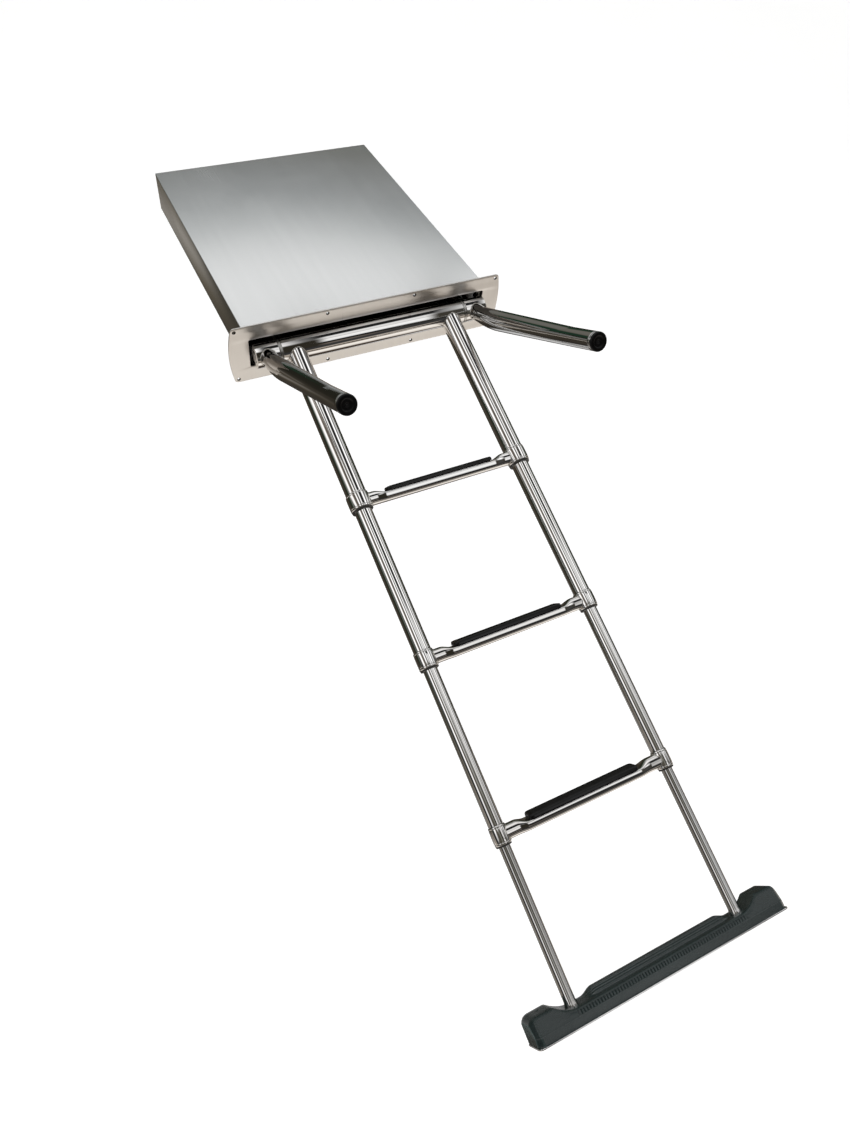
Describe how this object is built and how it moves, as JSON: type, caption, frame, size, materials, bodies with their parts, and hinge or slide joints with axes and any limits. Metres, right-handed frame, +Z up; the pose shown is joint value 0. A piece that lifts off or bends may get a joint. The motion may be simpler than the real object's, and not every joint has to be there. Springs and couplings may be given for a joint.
{
  "type": "boat boarding ladder",
  "caption": "Slide-in telescoping boarding ladder for a boat: stainless stowage box with a face flange, sliding crossbar, tube sections with rubber treads, grab handles and a wide bottom step.",
  "frame": {"origin": "centre of the mouth on the face flange's back, mounting face", "axes": "+X to the right along the mouth, +Y into the stowage box and the boat, +Z up"},
  "size_m": [0.568, 1.8017, 0.6268],
  "materials": {
    "polished_steel": "polished stainless tube",
    "satin_steel": "satin stainless",
    "box_steel": "mill-finish stainless sheet",
    "step_plastic": "moulded black plastic",
    "tread_rubber": "ribbed black rubber",
    "cap_plastic": "black plastic",
    "bush_plastic": "dark grey plastic",
    "slider_plastic": "natural nylon"
  },
  "bodies": {
    "housing": {"mounting_flange": "satin_steel", "housing_cover": "box_steel", "housing_floor": "box_steel", "housing_wall_left": "box_steel", "housing_wall_right": "box_steel", "housing_wall_back": "box_steel", "guide_rail_left": "satin_steel", "guide_rail_right": "satin_steel", "rail_stop_left": "tread_rubber", "rail_stop_right": "tread_rubber"},
    "carriage": {"pivot_shaft": "satin_steel", "carriage_arm_left": "satin_steel", "carriage_arm_right": "satin_steel", "carriage_tie_bar": "satin_steel", "slider_block_left": "slider_plastic", "slider_block_right": "slider_plastic"},
    "handle_left": {"handle_hub_left": "polished_steel", "handle_tube_left": "polished_steel", "handle_cap_left": "cap_plastic"},
    "handle_right": {"handle_hub_right": "polished_steel", "handle_tube_right": "polished_steel", "handle_cap_right": "cap_plastic"},
    "section_1": {"crossbar_sleeve": "polished_steel", "stile_1_left": "polished_steel", "stile_1_right": "polished_steel", "collar_1_left": "polished_steel", "collar_1_right": "polished_steel", "collar_bush_1_left": "bush_plastic", "collar_bush_1_right": "bush_plastic", "rung_1": "polished_steel", "tread_1": "tread_rubber"},
    "section_2": {"stile_2_left": "polished_steel", "stile_2_right": "polished_steel", "guide_ring_2_left": "bush_plastic", "guide_ring_2_right": "bush_plastic", "collar_2_left": "polished_steel", "collar_2_right": "polished_steel", "collar_bush_2_left": "bush_plastic", "collar_bush_2_right": "bush_plastic", "rung_2": "polished_steel", "tread_2": "tread_rubber"},
    "section_3": {"stile_3_left": "polished_steel", "stile_3_right": "polished_steel", "guide_ring_3_left": "bush_plastic", "guide_ring_3_right": "bush_plastic", "collar_3_left": "polished_steel", "collar_3_right": "polished_steel", "collar_bush_3_left": "bush_plastic", "collar_bush_3_right": "bush_plastic", "rung_3": "polished_steel", "tread_3": "tread_rubber"},
    "section_4": {"stile_4_left": "polished_steel", "stile_4_right": "polished_steel", "guide_ring_4_left": "bush_plastic", "guide_ring_4_right": "bush_plastic", "step_moulding": "step_plastic", "step_cover": "satin_steel"}
  },
  "joints": [
    {"name": "carriage_slide", "type": "slide", "parent": "housing", "child": "carriage", "axis": [0, 1, 0], "range_m": [0, 0.036]},
    {"name": "ladder_swing", "type": "hinge", "parent": "carriage", "child": "section_1", "pos_m": [0, -0.015, 0], "axis": [-1, 0, 0], "range_deg": [-54, 18.8]},
    {"name": "section_2_slide", "type": "slide", "parent": "section_1", "child": "section_2", "axis": [0, 0.9466, 0.3223], "range_m": [0, 0.26]},
    {"name": "section_3_slide", "type": "slide", "parent": "section_2", "child": "section_3", "axis": [0, 0.9466, 0.3223], "range_m": [0, 0.26]},
    {"name": "section_4_slide", "type": "slide", "parent": "section_3", "child": "section_4", "axis": [0, 0.9466, 0.3223], "range_m": [0, 0.232]},
    {"name": "left_handle_swing", "type": "hinge", "parent": "carriage", "child": "handle_left", "pos_m": [-0.218, -0.015, 0], "axis": [1, 0, 0], "range_deg": [-60, 25]},
    {"name": "right_handle_swing", "type": "hinge", "parent": "carriage", "child": "handle_right", "pos_m": [0.218, -0.015, 0], "axis": [1, 0, 0], "range_deg": [-60, 25]}
  ]
}
